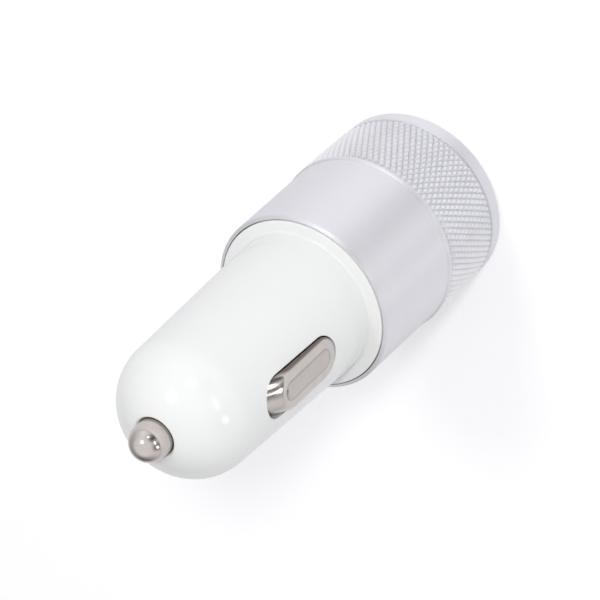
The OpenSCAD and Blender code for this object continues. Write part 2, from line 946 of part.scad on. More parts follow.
module chip_resistors() {
  beside = drum_r + 2.2;
  color([0.14, 0.14, 0.15])
    chips(
      [
        [-beside, parts_z + 1, 1], [-beside, parts_z + 3.4, 1], [-beside, parts_z + 5.8, 1],
        [beside + 1.2, parts_z + 7.6, 1],
        [4.6, neck_parts_z - 3, 1], [-4.6, neck_parts_z - 3, 1]
      ],
      [0.8, 0.5, 1.6]
    );
}

module chip_capacitors() {
  beside = output_can_d + 2.2;
  color([0.66, 0.52, 0.36])
    chips(
      [
        [beside, parts_z + 1.2, -1], [beside, parts_z + 4, -1], [0, neck_parts_z - 5, -1],
        [4.2, neck_parts_z, -1], [-4.2, neck_parts_z, -1], [0, neck_parts_z + 6, -1]
      ],
      [1.2, 1, 2]
    );
}

head_shell();
plug_housing();
face_plate();
centre_contact();
contact_spring();
spring_seat();
side_contact_left();
side_contact_right();
main_board();
usb_shell_front();
usb_shell_back();
usb_core_front();
usb_core_back();
usb_pins_front();
usb_pins_back();
inductor_core();
inductor_coil();
input_capacitor();
output_capacitor();
converter_chip();
port_chip();
rectifier_diode();
chip_fuse();
chip_resistors();
chip_capacitors();
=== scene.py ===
"""Looks of the car charger plug: camera, light, floor, finishes and the fine knurl.

The part stands on its USB end with its nose up, in metres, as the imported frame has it.
"""

import math
from functools import partial

import bmesh
import bpy
from mathutils import Matrix, Vector


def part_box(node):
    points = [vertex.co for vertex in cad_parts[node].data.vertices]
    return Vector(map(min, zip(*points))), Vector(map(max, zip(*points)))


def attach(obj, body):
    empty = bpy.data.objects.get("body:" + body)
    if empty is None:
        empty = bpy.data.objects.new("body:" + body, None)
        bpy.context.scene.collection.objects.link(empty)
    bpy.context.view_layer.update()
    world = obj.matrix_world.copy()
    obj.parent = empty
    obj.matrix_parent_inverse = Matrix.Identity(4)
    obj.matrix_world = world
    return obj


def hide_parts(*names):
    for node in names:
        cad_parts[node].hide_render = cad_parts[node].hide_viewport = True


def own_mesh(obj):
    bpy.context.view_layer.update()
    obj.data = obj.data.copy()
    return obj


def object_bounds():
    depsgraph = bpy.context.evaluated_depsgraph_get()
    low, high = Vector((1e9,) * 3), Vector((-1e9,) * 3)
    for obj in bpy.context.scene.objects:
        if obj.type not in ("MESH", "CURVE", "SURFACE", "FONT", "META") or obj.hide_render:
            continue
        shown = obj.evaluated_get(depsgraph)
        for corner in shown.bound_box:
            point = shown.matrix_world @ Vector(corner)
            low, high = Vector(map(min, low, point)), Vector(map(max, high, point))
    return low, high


MM = 0.001

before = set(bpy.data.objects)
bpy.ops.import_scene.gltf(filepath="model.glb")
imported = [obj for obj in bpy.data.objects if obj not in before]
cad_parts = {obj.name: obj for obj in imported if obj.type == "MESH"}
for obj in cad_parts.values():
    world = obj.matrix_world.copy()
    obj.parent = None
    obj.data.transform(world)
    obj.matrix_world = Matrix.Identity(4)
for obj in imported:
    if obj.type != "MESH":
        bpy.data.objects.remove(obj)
cad_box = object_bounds()


# Node helpers


def feed(tree, node, inputs):
    """Gives inputs of a node their values, or the outputs that they follow."""
    for socket, value in inputs.items():
        if isinstance(value, bpy.types.NodeSocket):
            tree.links.new(value, node.inputs[socket])
        else:
            node.inputs[socket].default_value = value


def add_node(tree, kind, inputs=None, **settings):
    """A new node of that kind, with its settings and what its inputs take."""
    node = tree.nodes.new(kind)
    for name, value in settings.items():
        setattr(node, name, value)
    feed(tree, node, inputs or {})
    return node


def math_node(tree, operation, *terms):
    """The result of an operation on numbers or outputs."""
    return add_node(tree, "ShaderNodeMath", dict(enumerate(terms)), operation=operation).outputs[0]


def noise(tree, place, scale, detail=3.0, roughness=0.5):
    """Noise over a place, scaled in features per metre."""
    inputs = {"Scale": scale, "Detail": detail, "Roughness": roughness, "Vector": place}
    return add_node(tree, "ShaderNodeTexNoise", inputs).outputs["Fac"]


def map_range(tree, value, from_min, from_max, to_min=0, to_max=1):
    """A value carried over evenly from one range to another."""
    inputs = {"From Min": from_min, "From Max": from_max, "To Min": to_min, "To Max": to_max, "Value": value}
    return add_node(tree, "ShaderNodeMapRange", inputs).outputs["Result"]


def mix(tree, factor, first, second, blend_type="MIX"):
    """One colour mixed into another by a factor."""
    inputs = {"Factor": factor, "A": first, "B": second}
    return add_node(tree, "ShaderNodeMix", inputs, data_type="RGBA", blend_type=blend_type).outputs["Result"]


def ramp(tree, factor, colours):
    """A colour for each level of a factor, from (level, colour) pairs."""
    node = add_node(tree, "ShaderNodeValToRGB", {"Fac": factor})
    stops = node.color_ramp.elements
    stops[0].position, stops[-1].position = colours[0][0], colours[-1][0]
    for level, _ in colours[1:-1]:
        stops.new(level)
    for stop, (_, colour) in zip(stops, colours):
        stop.color = (*colour, 1)
    return node.outputs["Color"]


# Levels of the noise between which a finish goes from dark to light, and from glossy to dull
shade_low, shade_high = 0.3, 0.7
wear_low, wear_high = 0.35, 0.65
# The wear's patches are this many times as wide as the colour's
wear_patch = 1.7


def finish(
    name, colour, shade=0.04, patch=3, rough=(0.3, 0.4), grain=25, depth=0.0, stretch=(1, 1, 1), **shader
):
    """A procedural finish. Its colour drifts by shade over patches of patch mm, its roughness
    lies between two values, and a grain of grain features per mm has that depth in mm."""
    material = bpy.data.materials.new(name)
    material.use_nodes = True
    tree = material.node_tree
    surface = tree.nodes["Principled BSDF"]
    place = add_node(tree, "ShaderNodeTexCoord").outputs["Object"]
    place = add_node(tree, "ShaderNodeMapping", {"Vector": place, "Scale": stretch}).outputs["Vector"]
    darker = tuple(c * (1 - shade) for c in colour)
    lighter = tuple(min(1, c * (1 + shade)) for c in colour)
    drift = noise(tree, place, 1 / (patch * MM))
    wear = noise(tree, place, 1 / (wear_patch * patch * MM), detail=5)
    feed(tree, surface, {
        "Base Color": ramp(tree, drift, [(shade_low, darker), (shade_high, lighter)]),
        "Roughness": map_range(tree, wear, wear_low, wear_high, *rough),
    })
    if depth:
        height = noise(tree, place, grain / MM, detail=2)
        bump = add_node(tree, "ShaderNodeBump", {"Distance": depth * MM, "Strength": 1, "Height": height})
        feed(tree, surface, {"Normal": bump.outputs["Normal"]})
    feed(tree, surface, {socket.replace("_", " "): value for socket, value in shader.items()})
    return material


def tint(material, factor, colour, blend_type="MIX"):
    """Mixes a colour into a finish's own by a factor."""
    tree = material.node_tree
    surface = tree.nodes["Principled BSDF"]
    own = surface.inputs["Base Color"].links[0].from_socket
    feed(tree, surface, {"Base Color": mix(tree, factor, own, colour, blend_type)})


# Finishes

turned_aluminium = finish(
    "turned_aluminium", (0.91, 0.91, 0.94), shade=0.015, patch=5, rough=(0.50, 0.54), grain=0.6, depth=0.002,
    stretch=(0.02, 0.02, 12), Metallic=1, Anisotropic=0.85, Anisotropic_Rotation=0.25,
)
knurled_aluminium = finish(
    "knurled_aluminium", (0.96, 0.96, 0.985), shade=0.02, patch=2, rough=(0.34, 0.42), grain=4, depth=0.004,
    Metallic=1,
)
gloss_plastic = finish(
    "gloss_plastic", (0.84, 0.845, 0.835), shade=0.006, patch=9, rough=(0.14, 0.18), grain=0.35, depth=0.006,
    IOR=1.5,
)
nickel_plating = finish(
    "nickel_plating", (0.66, 0.61, 0.575), shade=0.04, patch=1.6, rough=(0.12, 0.20), grain=2.5, depth=0.002,
    Metallic=1,
)
# Nickel with painted shade, darker where a piece's attribute says so
rubbed_nickel = finish(
    "rubbed_nickel", (0.65, 0.605, 0.575), shade=0.04, patch=1.2, rough=(0.12, 0.20), grain=2.5, depth=0.002,
    Metallic=1,
)
port_nickel = finish(
    "port_nickel", (0.74, 0.73, 0.71), shade=0.03, patch=2, rough=(0.2, 0.3), grain=3, depth=0.003,
    Metallic=1,
)
spring_wire = finish(
    "spring_wire", (0.60, 0.59, 0.58), shade=0.06, patch=0.8, rough=(0.25, 0.4), grain=8, depth=0.004,
    Metallic=1,
)
green_laminate = finish(
    "green_laminate", (0.055, 0.25, 0.11), shade=0.12, patch=1.2, rough=(0.32, 0.45), grain=6, depth=0.004,
)
port_plastic = finish(
    "port_plastic", (0.84, 0.84, 0.83), shade=0.02, patch=2, rough=(0.4, 0.5), grain=7, depth=0.004,
)
gold_plating = finish(
    "gold_plating", (0.83, 0.62, 0.27), shade=0.05, patch=0.8, rough=(0.2, 0.32), grain=6, depth=0.002,
    Metallic=1,
)
sintered_ferrite = finish(
    "sintered_ferrite", (0.10, 0.10, 0.11), shade=0.2, patch=0.6, rough=(0.55, 0.75), grain=6, depth=0.02,
)
enamelled_copper = finish(
    "enamelled_copper", (0.62, 0.27, 0.12), shade=0.12, patch=1, rough=(0.2, 0.32), grain=5, depth=0.004,
    Metallic=0.85,
)
drawn_can = finish(
    "drawn_can", (0.74, 0.74, 0.76), shade=0.03, patch=1.5, rough=(0.28, 0.4), grain=5, depth=0.003,
    Metallic=1,
)
moulded_black = finish(
    "moulded_black", (0.035, 0.035, 0.04), shade=0.25, patch=0.7, rough=(0.5, 0.65), grain=9, depth=0.008,
)
pale_ceramic = finish(
    "pale_ceramic", (0.78, 0.76, 0.68), shade=0.04, patch=0.6, rough=(0.45, 0.6), grain=9, depth=0.004,
)
brown_ceramic = finish(
    "brown_ceramic", (0.50, 0.36, 0.22), shade=0.1, patch=0.6, rough=(0.4, 0.55), grain=9, depth=0.004,
)

# The turned finish takes its direction from the turning marks, which run round the axis
tree = turned_aluminium.node_tree
round_axis = add_node(tree, "ShaderNodeTangent", direction_type="RADIAL", axis="Z")
feed(tree, tree.nodes["Principled BSDF"], {"Tangent": round_axis.outputs["Tangent"]})

# Painted shade: a dark brown mixed in where a piece's attribute says so
painted_shade_colour = (0.19, 0.155, 0.14, 1)
painted_shade_share = add_node(rubbed_nickel.node_tree, "ShaderNodeAttribute", attribute_name="rubbed")
tint(rubbed_nickel, painted_shade_share.outputs["Fac"], painted_shade_colour)

finish_of = {
    "head_shell": turned_aluminium,
    "plug_housing": gloss_plastic,
    "face_plate": gloss_plastic,
    "centre_contact": nickel_plating,
    "contact_spring": spring_wire,
    "spring_seat": nickel_plating,
    "side_contact_left": nickel_plating,
    "side_contact_right": nickel_plating,
    "main_board": green_laminate,
    "usb_shell_front": port_nickel,
    "usb_shell_back": port_nickel,
    "usb_core_front": port_plastic,
    "usb_core_back": port_plastic,
    "usb_pins_front": gold_plating,
    "usb_pins_back": gold_plating,
    "inductor_core": sintered_ferrite,
    "inductor_coil": enamelled_copper,
    "input_capacitor": drawn_can,
    "output_capacitor": drawn_can,
    "converter_chip": moulded_black,
    "port_chip": moulded_black,
    "rectifier_diode": moulded_black,
    "chip_fuse": pale_ceramic,
    "chip_resistors": sintered_ferrite,
    "chip_capacitors": brown_ceramic,
}
for name, material in finish_of.items():
    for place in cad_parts[name].material_slots:
        place.material = material


# Sizes of the shell in mm, as in the source

shell_high = [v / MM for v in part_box("head_shell")[1]]
knurl_r, rim_z = shell_high[0], shell_high[2]
knurl_count = 90
knurl_rows = 14
knurl_depth = 0.36
knurl_z0, knurl_z1 = 2.4, 14.4
start_ring_len = 0.35
start_ring_z = knurl_z1 - start_ring_len
ring_r = knurl_r - 0.15
start_ring_r = knurl_r - 0.075
band_r = knurl_r - 0.3
rim_r = band_r - 0.2
mouth_r = rim_r - 0.5
flange_z = rim_z - 1.6
shell_bore_r = mouth_r - 0.55
lip_r, lip_t = shell_bore_r - 0.75, 0.9
end_round = 0.6
chamfer = 0.3
groove_r = knurl_r - knurl_depth

# Sizes that only the looks have, in mm: how far the knurled sleeve runs under the rings, the
# radius of the shell's body just under its grooves, and the rounding of each turned edge
knurl_lap = 0.1
body_r = groove_r - 0.06
ring_edge, start_ring_edge, band_edge = 0.08, 0.06, 0.05
rim_outer_edge, rim_top_edge, mouth_edge = 0.1, 0.08, 0.06


# Object and mesh helpers


def linked(name, data):
    """A new object in the scene, from a mesh, a camera or a lamp."""
    holder = bpy.data.objects.new(name, data)
    bpy.context.scene.collection.objects.link(holder)
    return holder


def placed(at, right, up, back):
    """Matrix of a camera or lamp at that place, with its own axes along these directions."""
    return Matrix.Translation(at) @ Matrix((right, up, back)).transposed().to_4x4()


def smooth_faces(mesh, smooth_under):
    """Smooths a mesh where its faces meet at less than that angle."""
    mesh.shade_smooth()
    mesh.set_sharp_from_angle(angle=math.radians(smooth_under))


def new_piece(name, points, faces, material, body, smooth_under=35):
    """A closed piece from points in mm, smooth where its faces meet at less than that angle."""
    mesh = bpy.data.meshes.new(name)
    mesh.from_pydata([tuple(v * MM for v in p) for p in points], [], faces)
    mesh.materials.append(material)
    mesh.validate()
    form = bmesh.new()
    form.from_mesh(mesh)
    bmesh.ops.recalc_face_normals(form, faces=form.faces)
    form.to_mesh(mesh)
    form.free()
    smooth_faces(mesh, smooth_under)
    piece = linked(name, mesh)
    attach(piece, body)
    return piece


def rounded(corners, arc_steps=4):
    """A closed outline of (radius, z, rounding) corners, each with its rounding drawn."""
    outline = []
    for i, (r, z, rounding) in enumerate(corners):
        here = Vector((r, z))
        if not rounding:
            outline.append(tuple(here))
            continue
        before = (Vector(corners[i - 1][:2]) - here).normalized()
        after = (Vector(corners[(i + 1) % len(corners)][:2]) - here).normalized()
        half = before.angle(after) / 2
        centre = here + (before + after).normalized() * rounding / math.sin(half)
        first = here + before * rounding / math.tan(half) - centre
        last = here + after * rounding / math.tan(half) - centre
        for k in range(arc_steps + 1):
            outline.append(tuple(centre + first.lerp(last, k / arc_steps).normalized() * rounding))
    return outline


def turned(outline, columns):
    """Points and faces of an outline of (radius, z) turned about the axis. The outline runs
    with the solid on its left."""
    points = []
    for j in range(columns):
        a = math.tau * j / columns
        points += [(r * math.cos(a), r * math.sin(a), z) for r, z in outline]
    n = len(outline)
    faces = []
    for j in range(columns):
        a, b = j * n, (j + 1) % columns * n
        faces += [(a + i, b + i, b + (i + 1) % n, a + (i + 1) % n) for i in range(n)]
    return points, faces


# Knurled shell


def knurl_tree():
    """Geometry Nodes tree that draws a sleeve of crossed grooves, from its named sizes."""
    tree = bpy.data.node_groups.new("crossed_knurl", "GeometryNodeTree")
    sizes = (
        ("Crest Radius", "NodeSocketFloat"), ("Depth", "NodeSocketFloat"), ("Start", "NodeSocketFloat"),
        ("Row Height", "NodeSocketFloat"), ("Diamonds Round", "NodeSocketInt"), ("Rows", "NodeSocketInt"),
        ("Steps", "NodeSocketInt"), ("Flat Top", "NodeSocketFloat"), ("Finish", "NodeSocketMaterial"),
    )
    for name, kind in sizes:
        tree.interface.new_socket(name, in_out="INPUT", socket_type=kind)
    tree.interface.new_socket("Sleeve", in_out="OUTPUT", socket_type="NodeSocketGeometry")
    size = add_node(tree, "NodeGroupInput").outputs
    calc = partial(math_node, tree)

    # A flat grid, counted in steps along X round the sleeve and along Y up it
    half_columns = calc("MULTIPLY", size["Diamonds Round"], 2)
    across = calc("MULTIPLY", half_columns, size["Steps"])
    up = calc("MULTIPLY", size["Rows"], size["Steps"])
    grid = add_node(tree, "GeometryNodeMeshGrid", {
        "Size X": half_columns, "Size Y": size["Rows"],
        "Vertices X": calc("ADD", across, 1), "Vertices Y": calc("ADD", up, 1),
    })
    flat_place = add_node(tree, "GeometryNodeInputPosition").outputs[0]
    split = add_node(tree, "ShaderNodeSeparateXYZ", {0: flat_place})
    column = calc("ADD", split.outputs["X"], calc("DIVIDE", half_columns, 2))
    row = calc("ADD", split.outputs["Y"], calc("DIVIDE", size["Rows"], 2))
    # Grooves run along both diagonals, halfway between the crests. Whole turns are added to
    # each phase, so that it is never below 0.
    whole_turns = 1000
    to_groove = []
    for diagonal in (calc("ADD", column, row), calc("SUBTRACT", column, row)):
        phase = calc("FRACT", calc("ADD", calc("DIVIDE", diagonal, 2), whole_turns))
        to_groove.append(calc("ABSOLUTE", calc("SUBTRACT", phase, 0.5)))
    rise = calc("MULTIPLY", calc("MINIMUM", *to_groove), 2)
    rise = calc("MINIMUM", calc("DIVIDE", rise, calc("SUBTRACT", 1, size["Flat Top"])), 1)
    # The grooves run out at both ends
    from_end = calc("MINIMUM", row, calc("SUBTRACT", size["Rows"], row))
    rise = calc("MULTIPLY", rise, calc("MINIMUM", from_end, 1))
    groove_radius = calc("SUBTRACT", size["Crest Radius"], size["Depth"])
    radius = calc("ADD", groove_radius, calc("MULTIPLY", rise, size["Depth"]))
    angle = calc("DIVIDE", calc("MULTIPLY", column, math.tau), half_columns)
    round_place = add_node(tree, "ShaderNodeCombineXYZ", {
        "X": calc("MULTIPLY", radius, calc("COSINE", angle)),
        "Y": calc("MULTIPLY", radius, calc("SINE", angle)),
        "Z": calc("ADD", size["Start"], calc("MULTIPLY", row, size["Row Height"])),
    }).outputs[0]
    # Each square is cut along the groove that crosses it
    squares = {"Mesh": grid.outputs["Mesh"], "Selection": calc("LESS_THAN", *to_groove)}
    cut = add_node(tree, "GeometryNodeTriangulate", squares, quad_method="FIXED_ALTERNATE")
    cut = add_node(tree, "GeometryNodeTriangulate", {"Mesh": cut.outputs["Mesh"]}, quad_method="FIXED")
    bent = {"Geometry": cut.outputs["Mesh"], "Position": round_place}
    sleeve = add_node(tree, "GeometryNodeSetPosition", bent).outputs[0]
    same_point = 0.01 * MM
    closed = {"Geometry": sleeve, "Distance": same_point}
    sleeve = add_node(tree, "GeometryNodeMergeByDistance", closed).outputs[0]
    sleeve = add_node(tree, "GeometryNodeRealizeInstances", {0: sleeve}).outputs[0]
    coated = {"Geometry": sleeve, "Material": size["Finish"]}
    sleeve = add_node(tree, "GeometryNodeSetMaterial", coated).outputs[0]
    add_node(tree, "NodeGroupOutput", {0: sleeve})
    return tree


def grown(name, tree, body, **sizes):
    """The plain mesh that a tree draws with these sizes, as a piece on that body."""
    host = linked(name, bpy.data.meshes.new(name))
    modifier = host.modifiers.new("grow", "NODES")
    modifier.node_group = tree
    for item in tree.interface.items_tree:
        if item.in_out == "INPUT":
            modifier[item.identifier] = sizes[item.name.replace(" ", "_").lower()]
    seen = host.evaluated_get(bpy.context.evaluated_depsgraph_get())
    host.data = bpy.data.meshes.new_from_object(seen)
    host.modifiers.clear()
    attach(host, body)
    return host


def paint_groove_shade(material, groove_painted_shades):
    """Paints shade into the grooves, darker than the crests, by the distance from the axis."""
    tree = material.node_tree
    place = add_node(tree, "ShaderNodeTexCoord").outputs["Object"]
    flat = add_node(tree, "ShaderNodeVectorMath", {0: place, 1: (1, 1, 0)}, operation="MULTIPLY")
    from_axis = add_node(tree, "ShaderNodeVectorMath", {0: flat.outputs["Vector"]}, operation="LENGTH")
    up_the_side = map_range(tree, from_axis.outputs["Value"], groove_r * MM, knurl_r * MM)
    tint(material, 1, ramp(tree, up_the_side, groove_painted_shades), blend_type="MULTIPLY")


# Painted shade, from the bottom of a groove to the top of a crest
paint_groove_shade(knurled_aluminium, [
    (0, (0.80, 0.80, 0.81)), (0.35, (0.91, 0.91, 0.915)), (0.75, (1, 1, 1)), (1, (1, 1, 1)),
])
knurl_len = start_ring_z - knurl_z0 + 2 * knurl_lap
knurl = grown(
    "knurled_band", knurl_tree(), "housing", crest_radius=knurl_r * MM, depth=knurl_depth * MM,
    start=(knurl_z0 - knurl_lap) * MM, row_height=knurl_len / knurl_rows * MM,
    diamonds_round=knurl_count, rows=knurl_rows, steps=4, flat_top=0.22, finish=knurled_aluminium,
)
smooth_faces(knurl.data, smooth_under=18)

# Out along the end ring, up over the knurled stretch and the rim, and down again inside
shell_outline = rounded([
    (lip_r + chamfer, 0, 0), (ring_r, 0, end_round), (ring_r, knurl_z0, ring_edge),
    (body_r, knurl_z0, 0), (body_r, start_ring_z, 0),
    (start_ring_r, start_ring_z, start_ring_edge), (start_ring_r, knurl_z1, start_ring_edge),
    (band_r, knurl_z1 + start_ring_r - band_r, band_edge),
    (rim_r, rim_z - chamfer, rim_outer_edge), (rim_r - chamfer, rim_z, rim_top_edge),
    (mouth_r, rim_z, mouth_edge), (mouth_r, flange_z, 0),
    (shell_bore_r, flange_z, 0), (shell_bore_r, lip_t, 0), (lip_r, lip_t, 0), (lip_r, chamfer, 0),
])
shell_points, shell_faces = turned(shell_outline, columns=360)
shell = new_piece("turned_shell", shell_points, shell_faces, turned_aluminium, "housing")
for piece in (knurl, shell):
    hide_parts("head_shell")


# Side contacts

# Sizes in mm, as in the source
barrel_r, nose_r = 10.4, 9.5
taper_z0, dome_z = rim_z + 3.2, rim_z + 26.7
strip_w, strip_t = 5.7, 0.4
contact_z0, contact_z1 = rim_z + 8.32, rim_z + 23.15
ridge_z0, ridge_z1 = contact_z0 + 1.8, contact_z1 - 3.2
ridge_w = 2.0
leaf_x, leaf_w, leaf_tip = 7.2, 4.275, 1.6
root_x, root_z, root_h = 7.35, rim_z + 4.2, 2.4
prong_len, board_half = 1.8, 0.63

# Sizes of the smoother bump, in mm: how far its ridge stands over the barrel at the ridge's
# start and end, how deep its edge lies in the slot at both ends, and the flat rim round it
ridge_start, ridge_end = 0.25, 0.75
edge_deep_start, edge_deep_nose = 0.75, 1.1
flat_rim = 0.02
# Rise of the pressed bump from its edge to its ridge, as (share inwards, share outwards): a
# steep wall, a rounded shoulder, a nearly flat flank and a small step up on to the ridge
flank = [
    (0, 0), (0.005, 0.2), (0.012, 0.4), (0.025, 0.55), (0.045, 0.66), (0.075, 0.74), (0.12, 0.80),
    (0.18, 0.835), (0.27, 0.865), (0.38, 0.885), (0.50, 0.90), (0.62, 0.91), (0.73, 0.917), (0.81, 0.92),
    (0.86, 0.924), (0.895, 0.937), (0.925, 0.96), (0.955, 0.984), (0.98, 0.996), (1, 1),
]
# How much the nose end's ramp follows the rise, and not the way inwards
ramp_by_rise = 0.85
# Painted shade of the walls down in the slot by the mm from the bump's edge, and of the lines beside
# # the ridge by the share inwards. The ridge itself is a little darker too, as painted shade.
wall_painted_shade = [(0, 1), (0.11, 1), (0.2, 0.5), (0.35, 0)]
ridge_line_painted_shade = [(0.78, 0), (0.84, 0.5), (0.87, 0.55), (0.93, 0.14)]
# Steps of each half turn and of each long side of the bump's rings
ring_arc, ring_side = 20, 24


def barrel_outer_r(z):
    """Radius of the barrel's straight taper at a height."""
    share = max(0, (z - taper_z0) / (dome_z - taper_z0))
    return barrel_r + (nose_r - barrel_r) * share


def long_ring(half_w, low, high, height):
    """Points of an outline with two round ends, seen along X, at a height that follows z."""
    plan = []
    turns = (high - half_w, low + half_w)
    for lift in (0, 1):
        for k in range(ring_arc + 1):
            a = math.pi * (lift + k / ring_arc)
            plan.append((half_w * math.cos(a), turns[lift] + half_w * math.sin(a)))
        reach = turns[1 - lift] - turns[lift]
        plan += [((2 * lift - 1) * half_w, turns[lift] + reach * m / ring_side) for m in range(1, ring_side)]
    return [(height(z), y, z) for y, z in plan]


def blend(z, stations):
    """A value that passes smoothly through (z, value) stations."""
    for (z0, v0), (z1, v1) in zip(stations, stations[1:]):
        if z <= z1:
            share = min(max((z - z0) / (z1 - z0), 0), 1)
            return v0 + (v1 - v0) * share * share * (3 - 2 * share)
    return stations[-1][1]


def edge_height(z):
    """Height of the bump's edge, deep in the slot and deepest at the nose end."""
    return barrel_outer_r(z) - blend(z, [(contact_z0, edge_deep_start), (contact_z1, edge_deep_nose)])


def ridge_height(z):
    """Height of the ridge, which rises evenly over the barrel towards the nose."""
    share = min(max((z - ridge_z0) / (ridge_z1 - ridge_z0), 0), 1)
    return barrel_outer_r(z) + ridge_start + (ridge_end - ridge_start) * share


def bump_rings(inset):
    """Rings of the pressed bump's surface, moved in by inset, from its edge to its ridge."""
    side, low, high = strip_w / 2 - inset, contact_z0 + inset, contact_z1 - inset
    rings = []
    for inward, outward in flank:
        def height(z):
            return edge_height(z) + (ridge_height(z) - edge_height(z)) * outward - inset

        half_w = side + (ridge_w / 2 - side) * inward
        start = low + (ridge_z0 - low) * inward
        # The nose end is a ramp, longer than the other end
        reach = (1 - ramp_by_rise) * inward + ramp_by_rise * outward
        rings.append(long_ring(half_w, start, high + (ridge_z1 - high) * reach, height))
    return rings


def from_edge(y, z):
    """How far a place lies inside the strip's outline, seen along X."""
    nearest = min(max(z, contact_z0 + strip_w / 2), contact_z1 - strip_w / 2)
    return max(0, strip_w / 2 - math.hypot(y, z - nearest))


def ladder(first):
    """Quads that fill such an outline with rungs from one long side to the other."""
    half = ring_arc + ring_side
    mirror = {k: ring_arc - k for k in range(ring_arc + 1)}
    mirror.update({half + k: half + ring_arc - k for k in range(ring_arc + 1)})
    mirror.update({ring_arc + m: 2 * half - m for m in range(1, ring_side)})
    rungs = range(ring_arc // 2, half + ring_arc // 2)
    return [tuple(first + v for v in dict.fromkeys((k, k + 1, mirror[k + 1], mirror[k]))) for k in rungs]


def pressed_bump():
    """The strip with its pressed bump, as points, faces and the painted shade of its outer points."""
    outer, inner = bump_rings(0), bump_rings(strip_t)
    for rings, x in ((outer, leaf_x), (inner, leaf_x - strip_t)):
        rings.insert(0, [(x, y, z) for _, y, z in rings[0]])
    low, high = contact_z0 - leaf_tip, contact_z1 + leaf_tip
    rim = long_ring(strip_w / 2 + flat_rim, low, high, lambda z: leaf_x)
    under = [(leaf_x - strip_t, y, z) for _, y, z in rim]
    rings = outer[::-1] + [rim, under] + inner
    n = len(rim)
    faces = ladder(0) + ladder((len(rings) - 1) * n)
    for i in range(len(rings) - 1):
        here, there = i * n, (i + 1) * n
        faces += [(here + k, there + k, there + (k + 1) % n, here + (k + 1) % n) for k in range(n)]
    painted_shade_levels = []
    for (inward, _), ring in zip(flank[::-1], outer[::-1]):
        ridge_line_shade = blend(inward, ridge_line_painted_shade)
        painted_shade_levels += [max(blend(from_edge(y, z), wall_painted_shade), ridge_line_shade) for _, y, z in ring]
    return [p for ring in rings for p in ring], faces, painted_shade_levels


def pronged_leaf():
    """The leaf that holds the strip, with a prong on each face of the board, and no painted shade."""
    knee_z = contact_z0 - leaf_tip / 2
    root_low, root_high = root_z - root_h / 2, root_z + root_h / 2
    profile = [
        (leaf_x - strip_t, contact_z0), (leaf_x, contact_z0), (leaf_x, knee_z),
        (root_x + strip_t, root_high), (root_x + strip_t, root_low),
        (root_x, root_low), (root_x, root_high), (leaf_x - strip_t, knee_z),
    ]
    m = len(profile)
    points = [(x, y, z) for y in (leaf_w / 2, -leaf_w / 2) for x, z in profile]
    faces = [tuple(range(m)), tuple(range(m, 2 * m))]
    faces += [(k, m + k, m + (k + 1) % m, (k + 1) % m) for k in range(m)]
    box_sides = ((0, 1, 3, 2), (4, 6, 7, 5), (0, 4, 5, 1), (2, 3, 7, 6), (0, 2, 6, 4), (1, 5, 7, 3))
    for low in (board_half, -board_half - strip_t):
        first = len(points)
        points += [
            (x, y, z)
            for x in (root_x - prong_len, root_x + strip_t / 2)
            for y in (low, low + strip_t)
            for z in (root_low, root_high)
        ]
        faces += [tuple(first + k for k in side) for side in box_sides]
    return points, faces, []


def side_contact(side, half_turn):
    """One side contact in its two pieces. The left one is the right one after half a turn."""
    pieces = (("bump", pressed_bump(), 60), ("leaf", pronged_leaf(), 35))
    for name, (points, faces, painted_shade_levels), smooth_under in pieces:
        if half_turn:
            points = [(-x, -y, z) for x, y, z in points]
        piece = new_piece(
            f"{side}_contact_{name}", points, faces, rubbed_nickel, f"{side}_contact", smooth_under
        )
        # Painted shade of each point, which the nickel's finish reads
        rubbed = piece.data.attributes.new("rubbed", "FLOAT", "POINT")
        for point, level in zip(rubbed.data, painted_shade_levels):
            point.value = level
        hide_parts(f"side_contact_{side}")


side_contact("right", False)
side_contact("left", True)


# Spring

# A copy of the CAD coil, with points closer than this length in mm merged, then smoothed.
same_point = 0.0005
cad_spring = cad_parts["contact_spring"]
coil_mesh = cad_spring.data.copy()
form = bmesh.new()
form.from_mesh(coil_mesh)
bmesh.ops.remove_doubles(form, verts=form.verts, dist=same_point * MM)
bmesh.ops.recalc_face_normals(form, faces=form.faces)
form.to_mesh(coil_mesh)
form.free()
smooth_faces(coil_mesh, smooth_under=50)
coil = linked("coiled_spring", coil_mesh)
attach(coil, "housing")
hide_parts("contact_spring")
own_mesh(coil)


# Camera

# It looks down on the nose at a slant, and is turned about its own axis, so that the nose
# points down and to the left
frame_px = 600
focal_px = 2800
aim = Vector((-1.101, -1.687, 32.368)) * MM
camera_far = 363.102 * MM
bearing, climb, roll = (math.radians(turn) for turn in (-136.0024, 45.0941, -132.2530))

toward_camera = Vector((math.cos(bearing), math.sin(bearing), 0))
camera_back = toward_camera * math.cos(climb) + Vector((0, 0, math.sin(climb)))
level_right = Vector((-math.sin(bearing), math.cos(bearing), 0))
camera_right = Matrix.Rotation(roll, 3, camera_back) @ level_right
camera_up = camera_back.cross(camera_right)
camera_at = aim + camera_back * camera_far

camera_data = bpy.data.cameras.new("camera")
camera = linked("camera", camera_data)
camera.matrix_world = placed(camera_at, camera_right, camera_up, camera_back)
camera_data.angle = 2 * math.atan(frame_px / 2 / focal_px)
camera_data.clip_start = 0.01
camera_data.clip_end = 20
bpy.context.scene.camera = camera


# Floor

floor_reach = 3
corners = ((-1, -1), (1, -1), (1, 1), (-1, 1))
# Glow of the floor in the camera's rays and in mirrored rays
camera_glow, mirrored_glow = 0.225, 0.03

